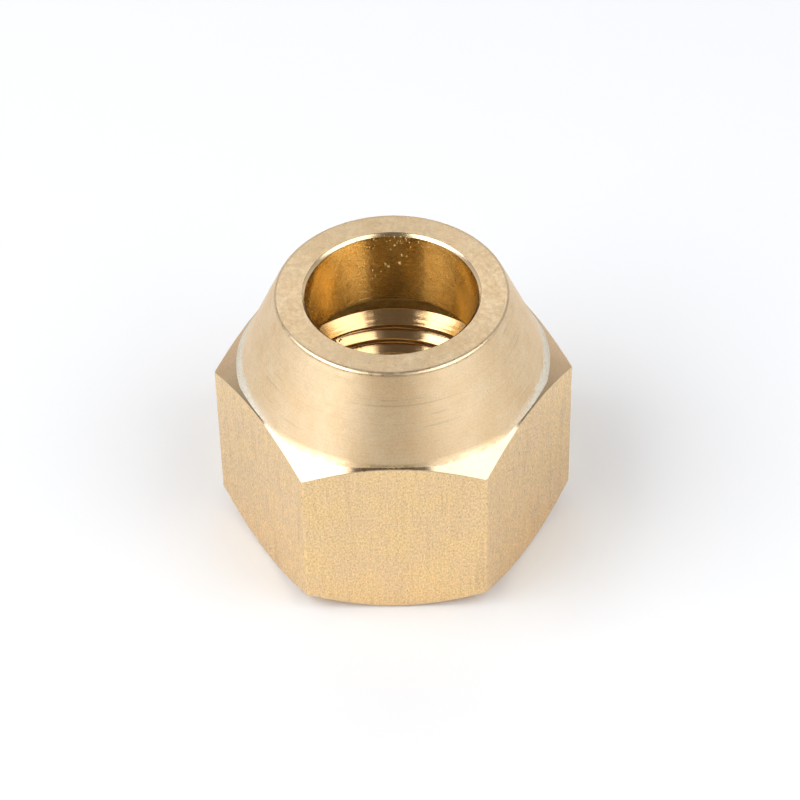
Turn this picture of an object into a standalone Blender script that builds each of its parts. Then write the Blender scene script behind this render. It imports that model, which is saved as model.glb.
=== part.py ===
"""Flare nut for 1/2 inch soft copper tube, SAE 45 degree flare, made from 24 mm hexagonal brass bar.

The nut stands on its threaded end with its axis on +Z and the centre of that end face at the origin.
Two of its wrench flats face -Y and +Y, so two of its corners point along -X and +X. It is one piece of
metal: the bar is turned on the outside, bored from both ends and threaded, and nothing is fitted into it.
"""
from math import cos, pi, radians, sin, tan

import bmesh
import bpy

MM = 0.001

# Hexagonal bar and overall height
ACROSS_FLATS = 24.0 * MM
CORNER_RADIUS = ACROSS_FLATS / 2 / cos(pi / 6)
HEIGHT = 22.2 * MM

# Turned outside: a nose face, a tapered neck and a chamfer on each end of the hexagon
NOSE_RADIUS = 8.87 * MM
NECK_BASE_RADIUS = 11.75 * MM
NECK_HEIGHT = 6.74 * MM
TOP_CHAMFER_ANGLE = radians(33.7)
BOTTOM_FACE_RADIUS = 11.70 * MM
BOTTOM_CHAMFER_ANGLE = radians(37.0)

# Tube bore, flare seat and thread relief
BORE_RADIUS = 6.57 * MM
BORE_LEAD = 0.23 * MM
BORE_BOTTOM_Z = 15.5 * MM
SEAT_ANGLE = radians(45.0)
RELIEF_RADIUS = 9.70 * MM
RELIEF_BOTTOM_Z = 11.55 * MM

# Internal thread, 3/4-16 UNF, right hand
PITCH = 25.4 / 16 * MM
MAJOR_RADIUS = 9.525 * MM
MINOR_RADIUS = 8.75 * MM
THREAD_ROOT_FLAT = PITCH / 8
FLANK_ANGLE = radians(30.0)
MOUTH_RADIUS = 9.90 * MM
THREAD_TOP_Z = RELIEF_BOTTOM_Z - (RELIEF_RADIUS - MINOR_RADIUS)
GROOVE_Z_AT_BACK = 9.75 * MM
FULL_DEPTH_TURN = 30
RUN_OUT_TURN = 45
RUN_OUT_CLEARANCE = 0.1 * MM

# Facets around a full turn
TURNED_FACETS = 96
THREAD_FACETS = 48

# How far a cutting shape runs past the metal that it cuts
OVERRUN = 1.0 * MM

BRASS_COLOR = (0.72, 0.52, 0.26, 1.0)
BRASS_ROUGHNESS = 0.32
SHARP_ANGLE = radians(25.0)


def clear_scene():
    for old in list(bpy.data.objects):
        bpy.data.objects.remove(old, do_unlink=True)


def brass():
    material = bpy.data.materials.new("brass")
    material.use_nodes = True
    shader = material.node_tree.nodes["Principled BSDF"]
    shader.inputs["Base Color"].default_value = BRASS_COLOR
    shader.inputs["Metallic"].default_value = 1.0
    shader.inputs["Roughness"].default_value = BRASS_ROUGHNESS
    return material


def new_object(name, bm):
    """Puts a closed bmesh into the scene as a named object, with its faces pointing out."""
    bmesh.ops.recalc_face_normals(bm, faces=bm.faces)
    mesh = bpy.data.meshes.new(name)
    bm.to_mesh(mesh)
    bm.free()
    item = bpy.data.objects.new(name, mesh)
    bpy.context.collection.objects.link(item)
    return item


def as_cutter(item):
    item.hide_render = True
    item.display_type = "WIRE"
    return item


def hex_bar():
    """The bar stock, with its flats square to the Y axis and some metal spare at both ends."""
    bm = bmesh.new()
    bmesh.ops.create_circle(bm, cap_ends=True, radius=CORNER_RADIUS, segments=6)
    for vert in bm.verts:
        vert.co.z = -OVERRUN
    # create_circle puts a corner on the Y axis, and a twelfth of a turn brings a flat there instead
    turn = pi / 6
    for vert in bm.verts:
        x, y = vert.co.x, vert.co.y
        vert.co.x = x * cos(turn) - y * sin(turn)
        vert.co.y = x * sin(turn) + y * cos(turn)
    grown = bmesh.ops.extrude_face_region(bm, geom=bm.faces[:])
    raised = [part for part in grown["geom"] if isinstance(part, bmesh.types.BMVert)]
    bmesh.ops.translate(bm, vec=(0, 0, HEIGHT + 2 * OVERRUN), verts=raised)
    return new_object("flare_nut", bm)


def turned(name, outline):
    """A solid turned about Z from an outline of (radius, z) points that starts and ends on the axis.

    Its facets straddle the X axis, so that no facet edge lies on a corner of the hexagon.
    """
    bm = bmesh.new()
    half_facet = pi / TURNED_FACETS
    verts = [bm.verts.new((r * cos(half_facet), r * sin(half_facet), z)) for r, z in outline]
    edges = [bm.edges.new(pair) for pair in zip(verts, verts[1:])]
    bmesh.ops.spin(
        bm, geom=verts + edges, cent=(0, 0, 0), axis=(0, 0, 1),
        angle=2 * pi, steps=TURNED_FACETS, use_merge=True,
    )
    bmesh.ops.remove_doubles(bm, verts=bm.verts, dist=1e-7)
    return new_object(name, bm)


def turned_outside():
    """The outer form that the lathe leaves: end face, bottom chamfer, top chamfer, tapered neck and nose."""
    clear_radius = CORNER_RADIUS + OVERRUN
    neck_base_z = HEIGHT - NECK_HEIGHT
    bottom_rise = (clear_radius - BOTTOM_FACE_RADIUS) * tan(BOTTOM_CHAMFER_ANGLE)
    top_drop = (clear_radius - NECK_BASE_RADIUS) * tan(TOP_CHAMFER_ANGLE)
    outline = [
        (0, 0),
        (BOTTOM_FACE_RADIUS, 0),
        (clear_radius, bottom_rise),
        (clear_radius, neck_base_z - top_drop),
        (NECK_BASE_RADIUS, neck_base_z),
        (NOSE_RADIUS, HEIGHT),
        (0, HEIGHT),
    ]
    return as_cutter(turned("turned_outside", outline))


def turned_inside():
    """The hole through the nut, from the chamfered mouth up to the lead-in of the tube bore."""
    seat_bottom_z = BORE_BOTTOM_Z - (RELIEF_RADIUS - BORE_RADIUS) / tan(SEAT_ANGLE)
    outline = [
        (0, -OVERRUN),
        (MOUTH_RADIUS + OVERRUN, -OVERRUN),
        (MINOR_RADIUS, MOUTH_RADIUS - MINOR_RADIUS),
        (MINOR_RADIUS, THREAD_TOP_Z),
        (RELIEF_RADIUS, RELIEF_BOTTOM_Z),
        (RELIEF_RADIUS, seat_bottom_z),
        (BORE_RADIUS, BORE_BOTTOM_Z),
        (BORE_RADIUS, HEIGHT - BORE_LEAD),
        (BORE_RADIUS + BORE_LEAD + OVERRUN, HEIGHT + OVERRUN),
        (0, HEIGHT + OVERRUN),
    ]
    return as_cutter(turned("turned_inside", outline))


def thread_groove():
    """The V groove of the thread: a section with a flat root, swept up a right-hand helix.

    It starts below the mouth. It is full depth up to FULL_DEPTH_TURN degrees past the back of the nut.
    Over the next RUN_OUT_TURN degrees it draws in towards the axis, as the threading tool does at its end.
    """
    inner_radius = MINOR_RADIUS - 0.25 * MM
    root_half = THREAD_ROOT_FLAT / 2
    inner_half = root_half + (MAJOR_RADIUS - inner_radius) * tan(FLANK_ANGLE)
    section = [
        (inner_radius, -inner_half),
        (MAJOR_RADIUS, -root_half),
        (MAJOR_RADIUS, root_half),
        (inner_radius, inner_half),
    ]
    facet = 2 * pi / THREAD_FACETS
    rise = PITCH / THREAD_FACETS
    full_facets = FULL_DEPTH_TURN * THREAD_FACETS // 360
    fading_facets = RUN_OUT_TURN * THREAD_FACETS // 360
    facets_below_back = round((GROOVE_Z_AT_BACK + OVERRUN) / rise)
    bm = bmesh.new()
    rings = []
    for step in range(-facets_below_back, full_facets + fading_facets + 1):
        angle = pi / 2 + step * facet
        centre_z = GROOVE_Z_AT_BACK + step * rise
        faded = max(step - full_facets, 0) / fading_facets
        draw_in = faded * (MAJOR_RADIUS - MINOR_RADIUS + RUN_OUT_CLEARANCE)
        ring = []
        for radius, z in section:
            r = radius - draw_in
            ring.append(bm.verts.new((r * cos(angle), r * sin(angle), centre_z + z)))
        rings.append(ring)
    for lower, upper in zip(rings, rings[1:]):
        for corner in range(len(section)):
            bm.faces.new((lower[corner - 1], lower[corner], upper[corner], upper[corner - 1]))
    bm.faces.new(rings[0])
    bm.faces.new(rings[-1])
    return as_cutter(new_object("thread_groove", bm))


def cut(item, operation, cutter):
    modifier = item.modifiers.new(cutter.name, "BOOLEAN")
    modifier.operation = operation
    modifier.object = cutter
    modifier.solver = "EXACT"


def applied(item):
    """Makes the modifiers' result the object's own mesh, smooth where it is round and sharp at its edges."""
    depsgraph = bpy.context.evaluated_depsgraph_get()
    mesh = bpy.data.meshes.new_from_object(item.evaluated_get(depsgraph))
    item.modifiers.clear()
    item.data = mesh
    mesh.shade_smooth()
    mesh.set_sharp_from_angle(angle=SHARP_ANGLE)
    return item


def flare_nut():
    nut = hex_bar()
    nut.data.materials.append(brass())
    cut(nut, "INTERSECT", turned_outside())
    cut(nut, "DIFFERENCE", turned_inside())
    cut(nut, "DIFFERENCE", thread_groove())
    return applied(nut)


clear_scene()
flare_nut()
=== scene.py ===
"""The look of the flare nut: machined brass on a pale floor under soft boxes.

The whole nut is one closed mesh. Its section is an outline with eased corners, and its thread is a helix in
the same mesh. Lengths are in millimetres until a mesh is made. The width and height come from the frame.
"""

import random
from math import cos, pi, radians, sin, tan

import bmesh
import bpy
import numpy as np
from mathutils import Euler, Matrix, Vector


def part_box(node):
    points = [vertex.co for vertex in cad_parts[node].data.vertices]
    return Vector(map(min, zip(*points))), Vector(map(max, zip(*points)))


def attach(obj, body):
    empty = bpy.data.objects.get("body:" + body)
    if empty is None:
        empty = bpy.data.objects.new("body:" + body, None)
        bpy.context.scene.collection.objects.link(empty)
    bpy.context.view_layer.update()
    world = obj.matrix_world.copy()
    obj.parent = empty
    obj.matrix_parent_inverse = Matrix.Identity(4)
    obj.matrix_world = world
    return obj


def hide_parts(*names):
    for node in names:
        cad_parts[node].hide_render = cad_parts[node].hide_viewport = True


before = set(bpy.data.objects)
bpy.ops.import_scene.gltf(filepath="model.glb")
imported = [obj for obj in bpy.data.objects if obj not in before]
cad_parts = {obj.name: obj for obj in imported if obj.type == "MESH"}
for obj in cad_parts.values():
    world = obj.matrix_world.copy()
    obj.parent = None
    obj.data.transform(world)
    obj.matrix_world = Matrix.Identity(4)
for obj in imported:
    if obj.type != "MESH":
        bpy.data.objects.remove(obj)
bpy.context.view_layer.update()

NODE = "flare_nut"
MM = 0.001
low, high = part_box(NODE)
ACROSS_FLATS = (high.y - low.y) / MM
HEIGHT = (high.z - low.z) / MM

# Outside, as turned from hexagonal bar
NOSE_RADIUS = 8.87
NECK_BASE_RADIUS = 11.75
NECK_BASE_Z = HEIGHT - 6.74
TOP_CHAMFER_ANGLE = radians(33.7)
BOTTOM_FACE_RADIUS = 11.70
BOTTOM_CHAMFER_ANGLE = radians(37.0)
BAR_CORNER_RADIUS = 0.35

# Inside: mouth, thread, relief, seat and tube bore
MOUTH_RADIUS = 9.90
PITCH = 25.4 / 16
MAJOR_RADIUS = 9.525
MINOR_RADIUS = 8.75
ROOT_FLAT = PITCH / 8
UPPER_FLANK_ANGLE = radians(30.0)
LOWER_FLANK_ANGLE = radians(40.0)
GROOVE_Z_AT_BACK = 9.75
FULL_DEPTH_TURN = radians(30)
RUN_OUT_TURN = radians(45)
RUN_OUT_CLEARANCE = 0.1
RELIEF_RADIUS = 9.70
RELIEF_BOTTOM_Z = 11.55
THREAD_TOP_Z = RELIEF_BOTTOM_Z - (RELIEF_RADIUS - MINOR_RADIUS)
BORE_RADIUS = 6.57
BORE_BOTTOM_Z = 15.5
SEAT_ANGLE = radians(45.0)
BORE_LEAD = 0.23

# How far each corner of the outline is eased, and the width that rounds the thread's own corners
NOSE_EDGE = 0.25
NECK_FOOT_EDGE = 0.38
BAR_EDGE = 0.06
END_FACE_EDGE = 0.08
MOUTH_EDGE = 0.06
LEAD_TOP_EDGE = 0.03
LEAD_BOTTOM_EDGE = 0.04
BORE_BOTTOM_EDGE = 0.02
RELIEF_EDGE = 0.05
THREAD_TOP_EDGE = 0.04
THREAD_EASE = 0.03

# Mesh fineness: columns round the nut, rows in a thread turn and in an eased edge, and the helical rows' ends
COLUMNS = 216
COLUMNS_AT_CORNER = np.array([-1.3, -1.0, -0.75, -0.5, -0.25, 0.25, 0.5, 0.75, 1.0, 1.3])
ROWS_PER_TURN = 28
EDGE_ROWS = 4
BROAD_EDGE = 0.3
BROAD_EDGE_ROWS = 8
EASED_SHARE = 0.42
HELIX_ROWS_BOTTOM = 0.12
HELIX_ROWS_TOP = THREAD_TOP_Z - 0.05
WELD_DISTANCE = 2e-7
LEAST_EDGE = 1e-8

# Swarf and burrs: the seed, how many there are in each place, and their sizes
SWARF_SEED = 7
TRAIL_CHIPS = 13
LEAD_SPECKS = 46
LEFT_WALL_SPECKS = 14
RIGHT_WALL_SPECKS = 12
NECK_FOOT_BURRS = 60
SHOULDER_BURRS = 16
CREST_BURRS = 22
TRAIL_SIZE = (0.06, 0.11)
LEAD_SIZE = (0.04, 0.08)
LEFT_WALL_SIZE = (0.03, 0.055)
RIGHT_WALL_SIZE = (0.03, 0.05)
NECK_FOOT_SIZE = (0.03, 0.06)
SHOULDER_SIZE = (0.05, 0.12)
CREST_SIZE = (0.03, 0.08)

# Where the foot of the neck is torn and painted with a pale highlight: beyond these distances to the sides,
# and below this height
TORN_HIGHLIGHT_FROM_X = 8.6
TORN_HIGHLIGHT_FULL_X = 10.6
TORN_HIGHLIGHT_TOP = NECK_BASE_Z + 0.4
TORN_HIGHLIGHT_FADE = 0.25

# Where painted shade darkens the bore wall, towards its two sides
SIDE_SHADE_FROM_X = 6.2
SIDE_SHADE_FULL_X = 7.9

# Camera and light
AIM = Vector((0.46, 0.96, 9.83)) * MM
CAMERA_AZIMUTH = radians(0.5)
CAMERA_ELEVATION = radians(44.6)
CAMERA_ROLL = radians(-1.2)
CAMERA_DISTANCE = 244.4 * MM
NEAREST_SEEN = 0.01
LENS = 140.3
SENSOR = 36.0
FLOOR_REACH = 3.0
FLOOR_SHADE = 0.95
FLOOR_ROUGHNESS = 0.6
BOX_HEIGHT = 0.45
BOX_TINT = (0.97, 1.0, 1.05)
# Each box: its name, its range of x and of y as parts of the box height, and its radiance
SOFT_BOXES = [
    ("left_box", (-1.6, -0.36), (-0.8, 0.27), 3.4),
    ("left_front_box", (-1.6, -0.60), (-1.4, -0.8), 3.4),
    ("right_box", (0.28, 1.6), (-0.8, 0.16), 2.3),
    ("right_front_box", (0.46, 1.6), (-1.4, -0.8), 2.3),
    ("back_box", (-0.7, 0.7), (0.7, 1.4), 1.15),
]
# The surroundings' level against the height of the direction, and their tint straight in front
WORLD_LEVELS = [(0.0, 0.88), (0.25, 0.64), (0.6, 0.26), (1.0, 0.12)]
WORLD_FRONT = (0.62, 0.54, 0.42, 1.0)
WORLD_FRONT_Y = -0.8

# Brass colours
PALE = (0.85, 0.66, 0.43, 1.0)
TAN = (0.81, 0.60, 0.36, 1.0)
NOSE_PALE = (0.85, 0.645, 0.40, 1.0)
NOSE_TAN = (0.81, 0.585, 0.335, 1.0)
NECK_PALE = (0.94, 0.73, 0.47, 1.0)
NECK_TAN = (0.90, 0.66, 0.39, 1.0)
# The pale colour of the neck's torn foot at its two sides, a painted highlight on the torn metal
TORN_HIGHLIGHT = (1.0, 0.90, 0.75, 1.0)
CHAMFER_PALE = (0.80, 0.585, 0.365, 1.0)
CHAMFER_TAN = (0.76, 0.535, 0.325, 1.0)
FLAT_GOLD = (0.925, 0.66, 0.335, 1.0)
FLAT_TAN = (0.885, 0.635, 0.36, 1.0)
THREAD_GOLD = (0.78, 0.50, 0.25, 1.0)
THREAD_BROWN = (0.72, 0.45, 0.21, 1.0)
SEAT_GOLD = (1.0, 0.82, 0.36, 1.0)
SEAT_DEEP = (0.95, 0.72, 0.30, 1.0)
BORE_GOLD = (0.86, 0.68, 0.31, 1.0)
BORE_BROWN = (0.79, 0.60, 0.24, 1.0)
CHIP_PALE = (1.0, 0.84, 0.50, 1.0)
CHIP_GOLD = (0.95, 0.72, 0.30, 1.0)


# ---- The nut's outline -------------------------------------------------------------------------

def column_angles():
    """Angles of the mesh columns about Z, closer together around the rounded corners of the bar."""
    even = np.arange(COLUMNS) * 360 / COLUMNS
    inner = ACROSS_FLATS / 2 - BAR_CORNER_RADIUS
    reach = 30 - np.degrees(np.arctan(inner * tan(pi / 6) / (ACROSS_FLATS / 2)))
    extra = [corner + COLUMNS_AT_CORNER * reach for corner in range(0, 360, 60)]
    angles = np.concatenate([even] + extra) % 360
    return np.radians(np.sort(angles))


def bar_radius(angles):
    """Distance from the axis to the hexagonal bar's surface. Its rounded corners start at 0 degrees."""
    from_corner = (angles + pi / 6) % (pi / 3) - pi / 6
    flat = ACROSS_FLATS / 2 / np.cos(pi / 6 - np.abs(from_corner))
    centre = (ACROSS_FLATS / 2 - BAR_CORNER_RADIUS) / cos(pi / 6)
    under = BAR_CORNER_RADIUS ** 2 - (centre * np.sin(from_corner)) ** 2
    arc = centre * np.cos(from_corner) + np.sqrt(np.maximum(under, 0))
    on_arc = (under > 0) & (arc < flat)
    return np.where(on_arc, arc, flat)


class Outline:
    """Rows of (radius, height) around the section, one value for each column, each row with its zone."""

    def __init__(self, angles):
        self.angles = angles
        self.radii = []
        self.heights = []
        self.zones = []

    def add(self, radius, height, zone):
        self.radii.append(np.broadcast_to(radius, self.angles.shape).astype(float))
        self.heights.append(np.broadcast_to(height, self.angles.shape).astype(float))
        self.zones.append(zone)

    def add_path(self, corners):
        """Straight runs between corners, each eased over its setback. The path's two ends are left out.

        A corner is (radius, height, setback, zone of the eased edge, zone of the run after it, rows in it).
        """
        points = [np.stack(np.broadcast_arrays(c[0] + 0 * self.angles, c[1])) for c in corners]
        lengths = [np.hypot(*(b - a)) for a, b in zip(points, points[1:])]
        starts, ends = [], []
        for i in range(1, len(corners) - 1):
            room = EASED_SHARE * np.minimum(lengths[i - 1], lengths[i])
            setback = np.minimum(corners[i][2], room)
            starts.append(points[i] + setback * (points[i - 1] - points[i]) / lengths[i - 1])
            ends.append(points[i] + setback * (points[i + 1] - points[i]) / lengths[i])
        for i, (start, end) in enumerate(zip(starts, ends), 1):
            setback, edge_zone, run_zone, run_rows = corners[i][2:]
            edge_rows = EDGE_ROWS if setback < BROAD_EDGE else BROAD_EDGE_ROWS
            for s in np.linspace(0, 1, edge_rows + 1):
                at = (1 - s) ** 2 * start + 2 * s * (1 - s) * points[i] + s * s * end
                self.add(at[0], at[1], edge_zone if s < 1 else run_zone)
            if i == len(starts):
                break
            for step in range(1, run_rows):
                s = 0.5 - 0.5 * cos(pi * step / run_rows)
                at = end + s * (starts[i] - end)
                self.add(at[0], at[1], run_zone)


def core_radius(height):
    """The hole before threading: the mouth's chamfer, then the thread's minor radius."""
    return np.maximum(MOUTH_RADIUS - height, MINOR_RADIUS)


def eased_step(value, ease):
    """max(value, 0) with its corner rounded over a width of ease."""
    return 0.5 * (value + np.sqrt(value ** 2 + ease ** 2))


def groove_radius(angles, height):
    """The thread groove's surface at a height, wherever the nearest turn of the helix passes.

    Above its last full turn the groove draws in towards the axis until it has left the metal.
    """
    helix = GROOVE_Z_AT_BACK + PITCH * (angles - pi / 2) / (2 * pi)
    offset = (height - helix + PITCH / 2) % PITCH - PITCH / 2
    turned = 2 * pi * (height - offset - GROOVE_Z_AT_BACK) / PITCH
    faded = np.clip((turned - FULL_DEPTH_TURN) / RUN_OUT_TURN, 0, 1)
    draw_in = faded * (MAJOR_RADIUS - MINOR_RADIUS + RUN_OUT_CLEARANCE)
    flank = np.where(offset > 0, tan(UPPER_FLANK_ANGLE), tan(LOWER_FLANK_ANGLE))
    below_root = eased_step(np.abs(offset) - ROOT_FLAT / 2, THREAD_EASE) / flank
    return MAJOR_RADIUS - draw_in - below_root


def threaded_radius(angles, height):
    """The hole's surface once the groove is cut, with eased crests."""
    core = core_radius(height)
    cut = groove_radius(angles, height)
    return core + eased_step(cut - core, THREAD_EASE) - THREAD_EASE / 2


def add_thread(outline, bottom, top):
    """Rows that follow the helix, so that no row crosses a crest. They are cut off level at both ends."""
    turns = int(np.ceil((top - bottom) / PITCH)) + 3
    helix = GROOVE_Z_AT_BACK + PITCH * (outline.angles - pi / 2) / (2 * pi)
    first = np.floor((bottom - GROOVE_Z_AT_BACK) / PITCH) - 1
    start = len(outline.zones)
    for turn in range(turns):
        for fraction in np.arange(ROWS_PER_TURN) / ROWS_PER_TURN:
            height = np.clip(helix + PITCH * (first + turn + fraction), bottom, top)
            outline.add(threaded_radius(outline.angles, height), height, "thread")
    return start, len(outline.zones) - 1


def nut_outline(angles):
    """The whole section, over the outside and back through the hole, and the range of its helical rows."""
    outline = Outline(angles)
    bar = bar_radius(angles)
    top_edge = NECK_BASE_Z - (bar - NECK_BASE_RADIUS) * tan(TOP_CHAMFER_ANGLE)
    bottom_edge = (bar - BOTTOM_FACE_RADIUS) * tan(BOTTOM_CHAMFER_ANGLE)
    lead_radius = BORE_RADIUS + BORE_LEAD
    seat_bottom_z = BORE_BOTTOM_Z - (RELIEF_RADIUS - BORE_RADIUS) / tan(SEAT_ANGLE)
    outline.add_path([
        (BORE_RADIUS, HEIGHT - BORE_LEAD, 0, "", "", 0),
        (lead_radius, HEIGHT, LEAD_TOP_EDGE, "lead", "nose_face", 6),
        (NOSE_RADIUS, HEIGHT, NOSE_EDGE, "edge", "neck", 8),
        (NECK_BASE_RADIUS, NECK_BASE_Z, NECK_FOOT_EDGE, "neck", "chamfer", 6),
        (bar, top_edge, BAR_EDGE, "edge", "flats", 6),
        (bar, bottom_edge, BAR_EDGE, "edge", "chamfer", 6),
        (BOTTOM_FACE_RADIUS, 0, END_FACE_EDGE, "edge", "end_face", 6),
        (MOUTH_RADIUS, 0, MOUTH_EDGE, "edge", "thread", 2),
        (core_radius(HELIX_ROWS_BOTTOM), HELIX_ROWS_BOTTOM, 0, "", "", 0),
    ])
    rows = add_thread(outline, HELIX_ROWS_BOTTOM, HELIX_ROWS_TOP)
    outline.add_path([
        (MINOR_RADIUS, HELIX_ROWS_TOP, 0, "", "", 0),
        (MINOR_RADIUS, THREAD_TOP_Z, THREAD_TOP_EDGE, "thread", "cone", 8),
        (RELIEF_RADIUS, RELIEF_BOTTOM_Z, RELIEF_EDGE, "cone", "seat", 4),
        (RELIEF_RADIUS, seat_bottom_z, RELIEF_EDGE, "seat", "seat", 6),
        (BORE_RADIUS, BORE_BOTTOM_Z, BORE_BOTTOM_EDGE, "bore", "bore", 8),
        (BORE_RADIUS, HEIGHT - BORE_LEAD, LEAD_BOTTOM_EDGE, "lead", "lead", 3),
        (lead_radius, HEIGHT, LEAD_TOP_EDGE, "", "", 0),
    ])
    return outline, rows


ZONES = ["nose_face", "neck", "chamfer", "edge", "flats", "end_face",
         "thread", "cone", "seat", "bore", "lead"]


def nut_mesh():
    """The outline's rows joined into one closed mesh, with each face's zone as its material."""
    angles = column_angles()
    outline, (helix_first, helix_last) = nut_outline(angles)
    radii = np.array(outline.radii)
    heights = np.array(outline.heights)
    rows, columns = radii.shape
    verts = np.stack([radii * np.cos(angles), radii * np.sin(angles), heights], axis=-1) * MM
    verts = verts.reshape(-1, 3)
    faces = []
    zones = []
    for row in range(rows):
        after = (row + 1) % rows
        helical = helix_first <= row < helix_last
        for column in range(columns):
            beside = (column + 1) % columns
            # across the seam a helical row goes on as the row one turn further up
            shift = ROWS_PER_TURN if helical and beside == 0 else 0
            near = min(row + shift, helix_last) if shift else row
            far = min(after + shift, helix_last) if shift else after
            faces.append((row * columns + column, near * columns + beside,
                          far * columns + beside, after * columns + column))
            zones.append(outline.zones[row])
    mesh = bpy.data.meshes.new("nut")
    mesh.from_pydata(verts.tolist(), [], faces)
    mesh.polygons.foreach_set("material_index", [ZONES.index(zone) for zone in zones])
    bm = bmesh.new()
    bm.from_mesh(mesh)
    bmesh.ops.remove_doubles(bm, verts=bm.verts, dist=WELD_DISTANCE)
    bmesh.ops.dissolve_degenerate(bm, edges=bm.edges, dist=LEAST_EDGE)
    if bm.calc_volume(signed=True) < 0:
        bmesh.ops.reverse_faces(bm, faces=bm.faces)
    for face in bm.faces:
        face.smooth = True
    bm.to_mesh(mesh)
    bm.free()
    return mesh


def chip_places():
    """Where burrs and chips lie, from a fixed seed: (angle in degrees, distance out, height, size)."""
    chance = random.Random(SWARF_SEED)
    # a trail of chips that slants across the back of the bore
    for _ in range(TRAIL_CHIPS):
        s = chance.random()
        yield (114 - 40 * s + chance.gauss(0, 2.5), BORE_RADIUS - 0.05,
               17.6 + 2.3 * s + chance.gauss(0, 0.3), chance.uniform(*TRAIL_SIZE))
    # specks under the lead-in at the back
    for _ in range(LEAD_SPECKS):
        yield (chance.gauss(86, 15), BORE_RADIUS - 0.02,
               22.1 - abs(chance.gauss(0, 0.8)), chance.uniform(*LEAD_SIZE))
    # specks on the two side walls of the bore
    for _ in range(LEFT_WALL_SPECKS):
        yield (chance.uniform(148, 166), BORE_RADIUS,
               chance.uniform(17.0, 20.5), chance.uniform(*LEFT_WALL_SIZE))
    for _ in range(RIGHT_WALL_SPECKS):
        yield (chance.uniform(30, 62), BORE_RADIUS,
               chance.uniform(19.0, 21.6), chance.uniform(*RIGHT_WALL_SIZE))
    # a line of burrs at the front foot of the neck
    for _ in range(NECK_FOOT_BURRS):
        yield (chance.uniform(-103, -77), NECK_BASE_RADIUS + chance.uniform(0.0, 0.12),
               NECK_BASE_Z - chance.uniform(0.0, 0.1), chance.uniform(*NECK_FOOT_SIZE))
    # burrs at the back left, below the relief's shoulder and along a crest of the thread
    for _ in range(SHOULDER_BURRS):
        yield (chance.uniform(117, 127), MINOR_RADIUS,
               chance.uniform(9.9, 10.3), chance.uniform(*SHOULDER_SIZE))
    for _ in range(CREST_BURRS):
        degrees = chance.uniform(102, 120)
        helix = GROOVE_Z_AT_BACK + PITCH * (degrees - 90) / 360
        yield (degrees, MINOR_RADIUS,
               helix - 0.62 * PITCH - chance.uniform(0, 0.08), chance.uniform(*CREST_SIZE))


def swarf_mesh():
    """Small torn chips, each a squashed and jagged lump that sits half in the wall."""
    chance = random.Random(SWARF_SEED + 1)
    bm = bmesh.new()
    for degrees, radius, height, size in chip_places():
        angle = radians(degrees)
        place = Vector((radius * cos(angle), radius * sin(angle), height)) * MM
        turn = Euler([chance.uniform(0, 2 * pi) for _ in range(3)]).to_matrix().to_4x4()
        stretch = Matrix.Diagonal((chance.uniform(0.8, 1.8), chance.uniform(0.6, 1.0),
                                   chance.uniform(0.4, 0.8), 1.0))
        made = bmesh.ops.create_icosphere(bm, subdivisions=1, radius=size * MM,
                                          matrix=Matrix.Translation(place) @ turn @ stretch)
        for vert in made["verts"]:
            vert.co += (vert.co - place) * chance.uniform(-0.3, 0.3)
    mesh = bpy.data.meshes.new("swarf")
    bm.to_mesh(mesh)
    bm.free()
    return mesh


# ---- Materials -----------------------------------------------------------------------------------

class Nodes:
    """Short names for building one material's node tree."""

    def __init__(self, name):
        self.material = bpy.data.materials.new(name)
        self.material.use_nodes = True
        self.tree = self.material.node_tree
        self.shader = self.tree.nodes["Principled BSDF"]
        self.color = None

    def add(self, kind, inputs=(), **settings):
        node = self.tree.nodes.new(kind)
        for key, value in settings.items():
            setattr(node, key, value)
        for key, value in dict(inputs).items():
            self.feed(node.inputs[key], value)
        return node

    def feed(self, socket, value):
        if isinstance(value, bpy.types.NodeSocket):
            self.tree.links.new(value, socket)
        else:
            socket.default_value = value

    def place(self):
        return self.add("ShaderNodeTexCoord").outputs["Object"]

    def maths(self, operation, a, b=0.0):
        return self.add("ShaderNodeMath", {0: a, 1: b}, operation=operation).outputs[0]

    def scaled(self, vector, scale):
        return self.add("ShaderNodeVectorMath", {0: vector, 1: scale}, operation="MULTIPLY").outputs[0]

    def noise(self, vector, scale, detail=3.0, roughness=0.55):
        node = self.add("ShaderNodeTexNoise", {"Vector": vector, "Scale": scale, "Detail": detail,
                                               "Roughness": roughness})
        return node.outputs["Fac"]

    def lines(self, along, spacing_mm, detail=2.0):
        """Noise that changes only along one coordinate, so that it draws lines across it."""
        node = self.add("ShaderNodeTexNoise", {"W": along, "Scale": 1 / (spacing_mm * MM), "Detail": detail},
                        noise_dimensions="1D")
        return node.outputs["Fac"]

    def between(self, fac, low_value, high_value, from_low=0.35, from_high=0.65):
        """The value from low_value to high_value as fac goes through its middle range."""
        node = self.add("ShaderNodeMapRange", {"Value": fac, "From Min": from_low, "From Max": from_high,
                                               "To Min": low_value, "To Max": high_value})
        return node.outputs["Result"]

    def blend(self, fac, first, second):
        node = self.add("ShaderNodeMix", {"Factor": fac}, data_type="RGBA")
        self.feed(node.inputs[6], first)
        self.feed(node.inputs[7], second)
        return node.outputs[2]

    def shaded(self, color, factor):
        """The colour made darker or lighter by a factor."""
        node = self.add("ShaderNodeVectorMath", {0: color}, operation="SCALE")
        self.feed(node.inputs["Scale"], factor)
        return node.outputs[0]

    def bump(self, height, depth_mm, normal=None):
        node = self.add("ShaderNodeBump", {"Height": height, "Distance": depth_mm * MM})
        if normal is not None:
            self.feed(node.inputs["Normal"], normal)
        return node.outputs["Normal"]


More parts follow.
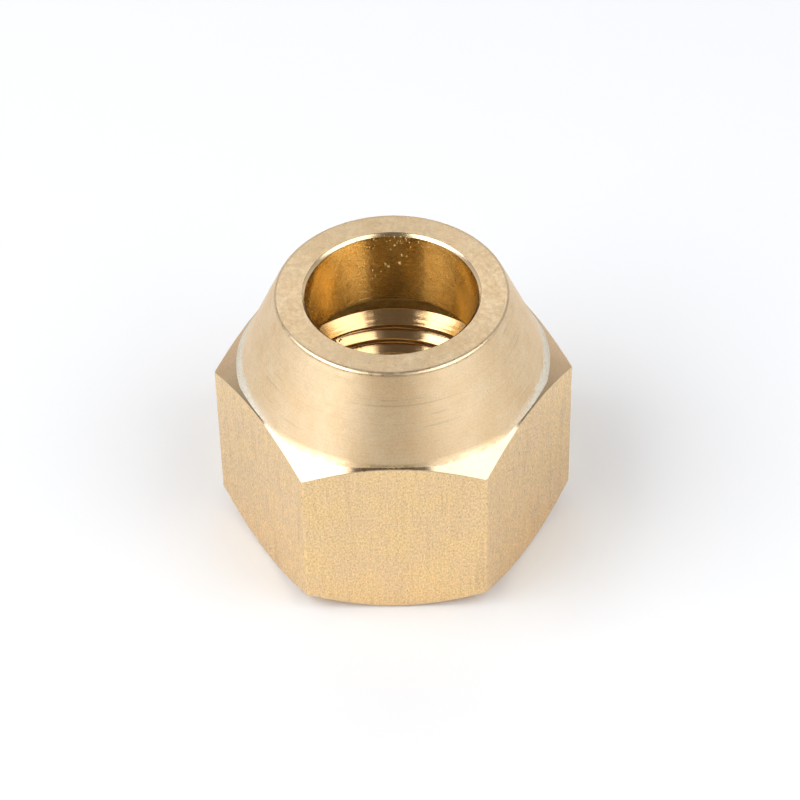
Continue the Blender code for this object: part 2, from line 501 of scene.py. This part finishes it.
def brass(name, color, deep_color, roughness, anisotropy=0.0, grain=0.08):
    """Brass with slow changes of colour and a fine grain. The other makers add each zone's tool marks."""
    nodes = Nodes(name)
    place = nodes.place()
    tint = nodes.between(nodes.noise(place, 450.0, detail=4.0), 0.0, 1.0)
    shade = nodes.between(nodes.noise(place, 8000.0, detail=2.0), 1 - grain, 1 + grain / 2, 0.3, 0.7)
    nodes.color = nodes.shaded(nodes.blend(tint, deep_color, color), shade)
    nodes.shader.inputs["Metallic"].default_value = 1.0
    fine = nodes.noise(place, 2600.0, detail=2.0)
    nodes.feed(nodes.shader.inputs["Roughness"], nodes.between(fine, roughness * 0.85, roughness * 1.2))
    nodes.shader.inputs["Anisotropic"].default_value = anisotropy
    return nodes, place


def finish(nodes, normal):
    """Joins the finished colour and normal to the shader."""
    nodes.feed(nodes.shader.inputs["Base Color"], nodes.color)
    nodes.feed(nodes.shader.inputs["Normal"], normal)
    return nodes.material


def torn_highlight_share(nodes, place):
    """How torn the foot of the neck is, and how much pale highlight is painted on it: fully so towards the
    side corners, with ragged limits.
    """
    ragged = nodes.maths("SUBTRACT", nodes.noise(place, 2600.0, detail=4.0, roughness=0.7), 0.5)
    parts = nodes.add("ShaderNodeSeparateXYZ", {0: place})
    beyond = nodes.maths("ABSOLUTE", parts.outputs["X"])
    beyond = nodes.maths("ADD", beyond, nodes.maths("MULTIPLY", ragged, 4 * MM))
    up = nodes.maths("ADD", parts.outputs["Z"], nodes.maths("MULTIPLY", ragged, 1.2 * MM))
    beside = nodes.between(beyond, 0.0, 1.0, TORN_HIGHLIGHT_FROM_X * MM, TORN_HIGHLIGHT_FULL_X * MM)
    below = nodes.between(up, 1.0, 0.0, (TORN_HIGHLIGHT_TOP - TORN_HIGHLIGHT_FADE) * MM, (TORN_HIGHLIGHT_TOP + TORN_HIGHLIGHT_FADE) * MM)
    return nodes.maths("MULTIPLY", beside, below)


def turned_brass(name, color, deep_color, roughness, anisotropy, ring_mm, depth_mm, on_face=False,
                 scratches=0.0, grain=0.08, torn_highlight_color=None):
    """Lathe marks: rings around the axis, spaced along the radius on a face and along the axis elsewhere.

    The radial tangent and a quarter turn spread the gloss across the rings. A torn colour tears the
    neck's foot and paints a pale highlight on its two sides.
    """
    nodes, place = brass(name, color, deep_color, roughness, anisotropy, grain)
    if on_face:
        flat = nodes.scaled(place, (1.0, 1.0, 0.0))
        along = nodes.add("ShaderNodeVectorMath", {0: flat}, operation="LENGTH").outputs["Value"]
    else:
        along = nodes.add("ShaderNodeSeparateXYZ", {0: place}).outputs["Z"]
    wander = nodes.maths("MULTIPLY", nodes.noise(place, 180.0, detail=1.0), 0.00006)
    along = nodes.maths("ADD", along, wander)
    rings = nodes.lines(along, ring_mm)
    fine_rings = nodes.lines(along, ring_mm / 3)
    nodes.color = nodes.shaded(nodes.color, nodes.between(rings, 1 - scratches, 1.0, 0.35, 0.5))
    scratch = nodes.maths("ADD", nodes.lines(along, 0.3), nodes.noise(place, 260.0, detail=2.0))
    nodes.color = nodes.shaded(nodes.color, nodes.between(scratch, 1 - 3 * scratches, 1.0, 0.66, 0.74))
    normal = nodes.bump(rings, depth_mm)
    normal = nodes.bump(fine_rings, depth_mm / 3, normal)
    if torn_highlight_color:
        # The share of torn metal and of painted highlight at each point of the neck's foot
        torn = torn_highlight_share(nodes, place)
        tears = nodes.noise(place, 9000.0, detail=3.0, roughness=0.7)
        # The pale torn colour is a painted highlight on the sides of the foot; the bump from the tears is
        # real roughness
        torn_highlight_look = nodes.shaded(torn_highlight_color[:3], nodes.between(tears, 0.86, 1.08, 0.4, 0.6))
        nodes.color = nodes.blend(torn, nodes.color, torn_highlight_look)
        normal = nodes.bump(nodes.maths("MULTIPLY", torn, tears), 0.06, normal)
    tangent = nodes.add("ShaderNodeTangent", direction_type="RADIAL", axis="Z")
    nodes.feed(nodes.shader.inputs["Tangent"], tangent.outputs[0])
    nodes.shader.inputs["Anisotropic Rotation"].default_value = 0.25
    return finish(nodes, normal)


def eased_brass(name, color, deep_color, roughness):
    """The small rounded edges between faces, rubbed a little uneven."""
    nodes, place = brass(name, color, deep_color, roughness)
    return finish(nodes, nodes.bump(nodes.noise(place, 2500.0), 0.0015))


def torn_brass(name, color, deep_color, roughness):
    """A rough edge that the tool has torn and that scatters the light."""
    nodes, place = brass(name, color, deep_color, roughness, grain=0.2)
    tears = nodes.noise(place, 9000.0, detail=3.0, roughness=0.7)
    return finish(nodes, nodes.bump(tears, 0.05))


def drawn_brass(name, color, deep_color, roughness):
    """The bar's own flats: lines and streaks drawn along the axis, a grain, dark specks, and small pits."""
    nodes, place = brass(name, color, deep_color, roughness, grain=0.10)
    lines = nodes.noise(nodes.scaled(place, (1.0, 1.0, 0.04)), 5600.0, detail=3.0)
    nodes.color = nodes.shaded(nodes.color, nodes.between(lines, 0.95, 1.01, 0.36, 0.6))
    grain = nodes.noise(nodes.scaled(place, (1.0, 1.0, 0.5)), 8000.0, detail=3.0, roughness=0.6)
    nodes.color = nodes.shaded(nodes.color, nodes.between(grain, 0.80, 1.07, 0.36, 0.60))
    streak = nodes.noise(nodes.scaled(place, (1.0, 1.0, 0.12)), 1100.0, detail=4.0)
    nodes.color = nodes.shaded(nodes.color, nodes.between(streak, 0.88, 1.0, 0.30, 0.42))
    specks = nodes.noise(place, 6500.0, detail=2.0, roughness=0.5)
    holes = nodes.between(specks, 0.0, 1.0, 0.31, 0.38)
    nodes.color = nodes.shaded(nodes.color, nodes.between(specks, 0.72, 1.0, 0.30, 0.40))
    normal = nodes.bump(grain, 0.008)
    normal = nodes.bump(holes, 0.012, normal)
    return finish(nodes, normal)


def bored_brass(name, color, deep_color, roughness):
    """The drilled wall: faint rings, blotches, small dark pits, and painted shade on its two sides."""
    nodes, place = brass(name, color, deep_color, roughness, grain=0.12)
    along = nodes.add("ShaderNodeSeparateXYZ", {0: place}).outputs["Z"]
    rings = nodes.lines(along, 0.16)
    blotches = nodes.noise(place, 1300.0, detail=5.0, roughness=0.65)
    nodes.color = nodes.shaded(nodes.color, nodes.between(blotches, 0.86, 1.05, 0.38, 0.6))
    # Painted shade: the wall is made darker towards its left and right sides, with a ragged limit
    across = nodes.maths("ABSOLUTE", nodes.add("ShaderNodeSeparateXYZ", {0: place}).outputs["X"])
    shade_across = nodes.maths("ADD", across, nodes.maths("MULTIPLY", blotches, 2.5 * MM))
    side_shade = nodes.between(shade_across, 1.0, 0.58, SIDE_SHADE_FROM_X * MM, SIDE_SHADE_FULL_X * MM)
    nodes.color = nodes.shaded(nodes.color, side_shade)
    pits = nodes.noise(place, 3600.0, detail=3.0)
    nodes.color = nodes.shaded(nodes.color, nodes.between(pits, 0.5, 1.0, 0.28, 0.36))
    normal = nodes.bump(rings, 0.004)
    normal = nodes.bump(blotches, 0.02, normal)
    return finish(nodes, normal)


def materials():
    """One brass for each zone, in the order of ZONES."""
    looks = {
        "nose_face": turned_brass("turned_face", NOSE_PALE, NOSE_TAN, roughness=0.36, anisotropy=0.45,
                                  ring_mm=0.12, depth_mm=0.003, on_face=True, scratches=0.02, grain=0.12),
        "neck": turned_brass("turned_neck", NECK_PALE, NECK_TAN, roughness=0.40, anisotropy=0.85,
                             ring_mm=0.14, depth_mm=0.005, scratches=0.04, grain=0.10, torn_highlight_color=TORN_HIGHLIGHT),
        "chamfer": turned_brass("turned_chamfer", CHAMFER_PALE, CHAMFER_TAN, roughness=0.14, anisotropy=0.3,
                                ring_mm=0.15, depth_mm=0.0015),
        "edge": eased_brass("broken_edge", PALE, TAN, roughness=0.32),
        "end_face": turned_brass("turned_end_face", PALE, TAN, roughness=0.34, anisotropy=0.5,
                                 ring_mm=0.12, depth_mm=0.003, on_face=True),
        "thread": turned_brass("cut_thread", THREAD_GOLD, THREAD_BROWN, roughness=0.13, anisotropy=0.2,
                               ring_mm=0.1, depth_mm=0.002),
        "cone": turned_brass("turned_cone", THREAD_GOLD, THREAD_BROWN, roughness=0.13, anisotropy=0.3,
                             ring_mm=0.3, depth_mm=0.006),
        "seat": bored_brass("turned_seat", SEAT_GOLD, SEAT_DEEP, roughness=0.5),
        "lead": turned_brass("turned_lead", PALE, TAN, roughness=0.2, anisotropy=0.2,
                             ring_mm=0.1, depth_mm=0.002),
        "flats": drawn_brass("drawn_flats", FLAT_GOLD, FLAT_TAN, roughness=0.32),
        "bore": bored_brass("bored_wall", BORE_GOLD, BORE_BROWN, roughness=0.2),
    }
    return [looks[zone] for zone in ZONES]


# ---- The set ---------------------------------------------------------------------------------------

def add_floor():
    """A pale floor that runs back far past the view."""
    bm = bmesh.new()
    bmesh.ops.create_grid(bm, x_segments=24, y_segments=24, size=FLOOR_REACH)
    for vert in bm.verts:
        vert.co.z = low.z
    mesh = bpy.data.meshes.new("floor")
    bm.to_mesh(mesh)
    bm.free()
    floor = bpy.data.objects.new("floor", mesh)
    bpy.context.scene.collection.objects.link(floor)
    nodes = Nodes("floor")
    nodes.shader.inputs["Base Color"].default_value = (FLOOR_SHADE, FLOOR_SHADE, FLOOR_SHADE, 1.0)
    nodes.shader.inputs["Roughness"].default_value = FLOOR_ROUGHNESS
    mesh.materials.append(nodes.material)


def add_soft_box(name, across, along, radiance):
    """A level rectangular light of an even radiance, overhead.

    It covers a range of x and a range of y, both given as parts of its height over the floor.
    """
    light = bpy.data.lights.new(name, "AREA")
    light.shape = "RECTANGLE"
    light.size = (across[1] - across[0]) * BOX_HEIGHT
    light.size_y = (along[1] - along[0]) * BOX_HEIGHT
    light.energy = radiance * light.size * light.size_y * pi
    light.color = BOX_TINT
    lamp = bpy.data.objects.new(name, light)
    bpy.context.scene.collection.objects.link(lamp)
    lamp.location = Vector((sum(across) / 2, sum(along) / 2, 1.0)) * BOX_HEIGHT


def add_world():
    """Pale surroundings, darker overhead, and darker and warmer in front."""
    world = bpy.data.worlds.new("studio")
    bpy.context.scene.world = world
    world.use_nodes = True
    tree = world.node_tree
    background = tree.nodes["Background"]
    coordinates = tree.nodes.new("ShaderNodeTexCoord")
    split = tree.nodes.new("ShaderNodeSeparateXYZ")
    ramp = tree.nodes.new("ShaderNodeValToRGB")
    tree.links.new(coordinates.outputs["Generated"], split.inputs[0])
    tree.links.new(split.outputs["Z"], ramp.inputs[0])
    front = tree.nodes.new("ShaderNodeMapRange")
    front.inputs["From Min"].default_value = WORLD_FRONT_Y
    front.inputs["From Max"].default_value = 0.0
    tree.links.new(split.outputs["Y"], front.inputs["Value"])
    warmth = tree.nodes.new("ShaderNodeMix")
    warmth.data_type = "RGBA"
    tree.links.new(front.outputs["Result"], warmth.inputs["Factor"])
    warmth.inputs[6].default_value = WORLD_FRONT
    warmth.inputs[7].default_value = (1.0, 1.0, 1.0, 1.0)
    product = tree.nodes.new("ShaderNodeVectorMath")
    product.operation = "MULTIPLY"
    tree.links.new(ramp.outputs[0], product.inputs[0])
    tree.links.new(warmth.outputs[2], product.inputs[1])
    tree.links.new(product.outputs[0], background.inputs["Color"])
    stops = ramp.color_ramp.elements
    stops[0].position = 0.0
    stops[1].position = 1.0
    for position, _ in WORLD_LEVELS[1:-1]:
        stops.new(position)
    for stop, (_, level) in zip(stops, WORLD_LEVELS):
        stop.color = (level, level, level, 1.0)
    background.inputs["Strength"].default_value = 1.0


def add_camera():
    """A long lens that looks down at the front of the nut, with a slight roll."""
    back = Vector((sin(CAMERA_AZIMUTH) * cos(CAMERA_ELEVATION),
                   -cos(CAMERA_AZIMUTH) * cos(CAMERA_ELEVATION), sin(CAMERA_ELEVATION)))
    right = Vector((cos(CAMERA_AZIMUTH), sin(CAMERA_AZIMUTH), 0.0))
    up = back.cross(right)
    turn = Matrix((right, up, back)).transposed() @ Matrix.Rotation(CAMERA_ROLL, 3, "Z")
    data = bpy.data.cameras.new("camera")
    data.lens = LENS
    data.sensor_width = SENSOR
    data.clip_start = NEAREST_SEEN
    camera = bpy.data.objects.new("camera", data)
    bpy.context.scene.collection.objects.link(camera)
    camera.matrix_world = Matrix.Translation(AIM + back * CAMERA_DISTANCE) @ turn.to_4x4()
    bpy.context.scene.camera = camera


nut = bpy.data.objects.new("flare_nut_body", nut_mesh())
bpy.context.scene.collection.objects.link(nut)
for material in materials():
    nut.data.materials.append(material)
crisp = nut.modifiers.new("crisp", "WEIGHTED_NORMAL")
crisp.keep_sharp = True
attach(nut, "root")
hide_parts(NODE)

swarf = bpy.data.objects.new("machining_burrs", swarf_mesh())
bpy.context.scene.collection.objects.link(swarf)
swarf.data.materials.append(torn_brass("swarf", CHIP_PALE, CHIP_GOLD, roughness=0.5))
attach(swarf, "root")

add_floor()
add_world()
for box in SOFT_BOXES:
    add_soft_box(*box)
add_camera()
bpy.context.scene.view_settings.view_transform = "Standard"
